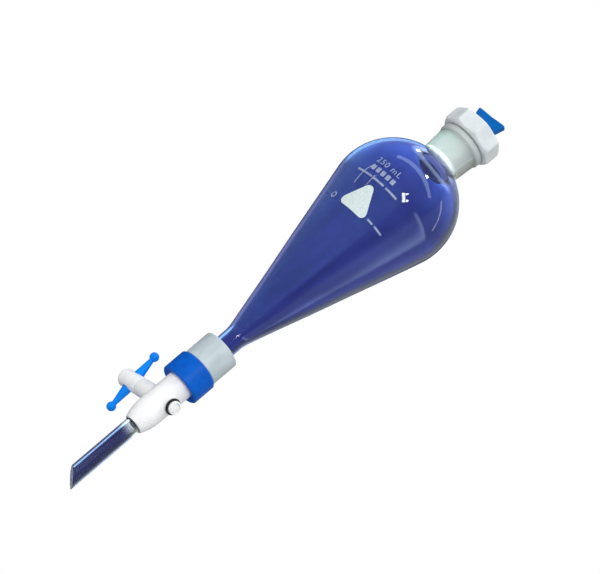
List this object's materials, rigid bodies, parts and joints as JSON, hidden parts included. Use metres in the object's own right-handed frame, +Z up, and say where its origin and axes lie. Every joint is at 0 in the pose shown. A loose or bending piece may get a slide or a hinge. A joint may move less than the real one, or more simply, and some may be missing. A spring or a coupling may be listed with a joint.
{
  "type": "separatory funnel",
  "caption": "Pear-shaped glass separatory funnel with a plastic stopper, a union nut coupling, a white stopcock with a ball-ended handle and a bevelled drip stem.",
  "frame": {"origin": "centre of the circle where the cone rests in a 60 mm support ring, on the funnel's axis", "axes": "+Z up along the funnel's axis towards the stopper; the stopcock plug lies along X with its handle on the -X side"},
  "size_m": [0.0762, 0.0762, 0.3347],
  "materials": {
    "tinted_glass": "polished, blue tinted",
    "natural_plastic": "unpigmented polyethylene, waxy and slightly translucent",
    "blue_plastic": "moulded, semi gloss",
    "white_fluoropolymer": "machined fluoropolymer, waxy white",
    "black_rubber": "moulded elastomer"
  },
  "bodies": {
    "glass": {"glass_body": "tinted_glass", "coupling_collar": "natural_plastic", "split_ring_left": "natural_plastic", "split_ring_right": "natural_plastic"},
    "stopper": {"stopper_plug": "natural_plastic", "stopper_grip": "blue_plastic"},
    "slip_ring": {"thrust_ring": "white_fluoropolymer"},
    "nut": {"union_nut": "blue_plastic"},
    "valve": {"valve_body": "white_fluoropolymer", "coupling_o_ring": "black_rubber", "stem_o_ring": "black_rubber"},
    "stem": {"drip_stem": "tinted_glass"},
    "plug": {"stopcock_plug": "white_fluoropolymer", "handle_arm_upper": "blue_plastic", "handle_arm_lower": "blue_plastic", "plug_washer": "white_fluoropolymer", "tension_o_ring": "black_rubber"},
    "tension": {"tension_nut": "white_fluoropolymer"}
  },
  "joints": [
    {"name": "stopper_lift", "type": "slide", "parent": "glass", "child": "stopper", "axis": [0, 0, 1], "range_m": [0, 0.045]},
    {"name": "nut_travel", "type": "slide", "parent": "glass", "child": "slip_ring", "axis": [0, 0, 1], "range_m": [-0.0071, 0]},
    {"name": "nut_turn", "type": "hinge", "parent": "slip_ring", "child": "nut", "pos_m": [0, 0, -0.1245], "axis": [0, 0, 1], "range_deg": [-840, 0]},
    {"name": "valve_swivel", "type": "hinge", "parent": "glass", "child": "valve", "pos_m": [0, 0, -0.1259], "axis": [0, 0, 1], "continuous": true},
    {"name": "stem_turn", "type": "hinge", "parent": "valve", "child": "stem", "pos_m": [0, 0, -0.1608], "axis": [0, 0, 1], "continuous": true},
    {"name": "stopcock_turn", "type": "hinge", "parent": "valve", "child": "plug", "pos_m": [0, 0, -0.145], "axis": [1, 0, 0], "continuous": true},
    {"name": "tension_nut_turn", "type": "hinge", "parent": "plug", "child": "tension", "pos_m": [0.01245, 0, -0.145], "axis": [1, 0, 0], "range_deg": [0, 540]}
  ],
  "couplings": [
    {"joint": "nut_travel", "follows": "nut_turn", "m_per_rad": 0.00047746}
  ]
}
